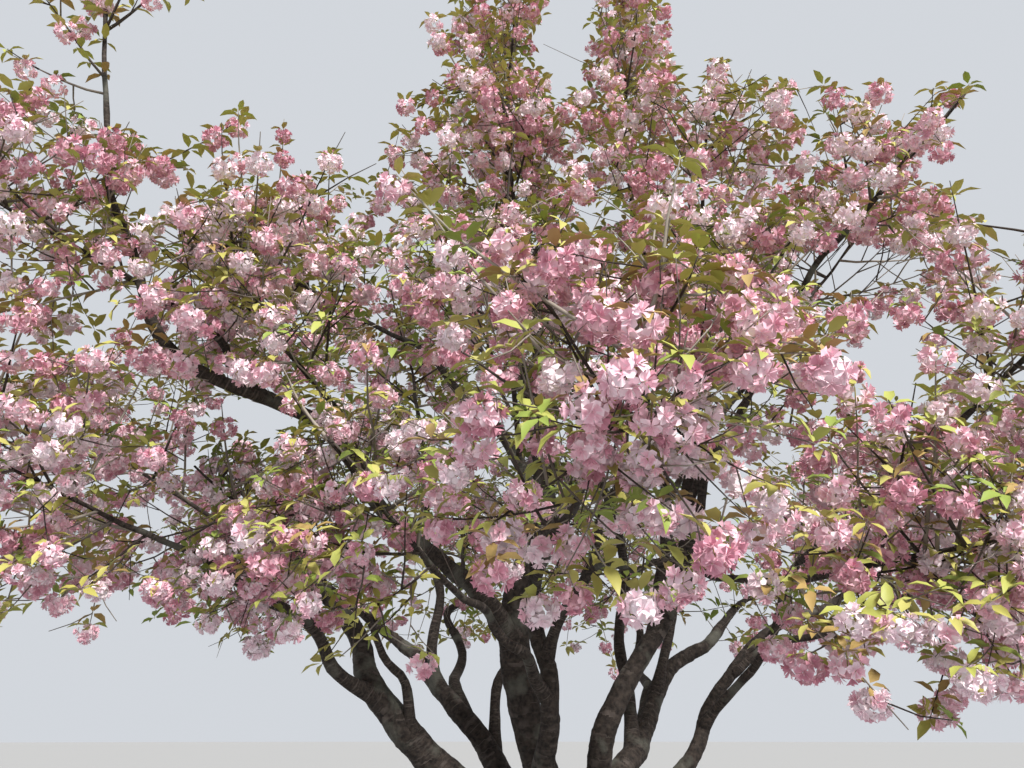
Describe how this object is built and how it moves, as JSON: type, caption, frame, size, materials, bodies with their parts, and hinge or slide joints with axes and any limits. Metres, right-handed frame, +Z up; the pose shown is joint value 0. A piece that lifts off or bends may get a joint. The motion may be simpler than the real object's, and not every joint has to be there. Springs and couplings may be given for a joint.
{
  "type": "cherry blossom tree",
  "caption": "Mature double-flowered cherry tree in full bloom: short trunk that forks low down, crooked spreading boughs and a wide crown of pink blossom heads and young leaves.",
  "frame": {"origin": "middle of the flat cut under the trunk, at ground level", "axes": "+Z up out of the ground; -Y is the front, towards the picture's viewer, and +X is the viewer's right"},
  "size_m": [8.3489, 8.0691, 8.4539],
  "materials": {
    "bark": "rough dark grey-brown bark, silver-grey on the thin twigs",
    "foliage": "matt pale pink ruffled blossom with yellow-green to bronze young leaves"
  },
  "bodies": {
    "root": {"trunk": "bark", "left_side_bough": "bark", "centre_leader_bough": "bark", "right_shoulder_bough": "bark", "right_side_bough": "bark", "centre_high_bough": "bark", "back_left_bough": "bark", "back_right_bough": "bark", "left_leader_bough": "bark", "left_mid_bough": "bark", "left_high_bough": "bark", "left_low_bough": "bark", "left_under_bough": "bark", "top_left_bough": "bark", "crown_top_bough": "bark", "right_leader_bough": "bark", "top_right_bough": "bark", "right_arm_bough": "bark", "front_low_bough": "bark", "front_left_low_bough": "bark", "right_mid_bough": "bark", "right_low_bough": "bark", "far_right_bough": "bark", "right_low_side_bough": "bark", "back_mid_right_bough": "bark", "back_mid_left_bough": "bark", "back_high_right_bough": "bark", "back_high_bough": "bark", "back_high_left_bough": "bark", "back_inner_bough": "bark", "left_side_foliage": "foliage", "centre_leader_foliage": "foliage", "right_shoulder_foliage": "foliage", "right_side_foliage": "foliage", "centre_high_foliage": "foliage", "back_left_foliage": "foliage", "back_right_foliage": "foliage", "left_leader_foliage": "foliage", "left_mid_foliage": "foliage", "left_high_foliage": "foliage", "left_low_foliage": "foliage", "left_under_foliage": "foliage", "top_left_foliage": "foliage", "crown_top_foliage": "foliage", "right_leader_foliage": "foliage", "top_right_foliage": "foliage", "right_arm_foliage": "foliage", "front_low_foliage": "foliage", "front_left_low_foliage": "foliage", "right_mid_foliage": "foliage", "right_low_foliage": "foliage", "far_right_foliage": "foliage", "right_low_side_foliage": "foliage", "back_mid_right_foliage": "foliage", "back_mid_left_foliage": "foliage", "back_high_right_foliage": "foliage", "back_high_foliage": "foliage", "back_high_left_foliage": "foliage", "back_inner_foliage": "foliage"}
  },
  "joints": []
}
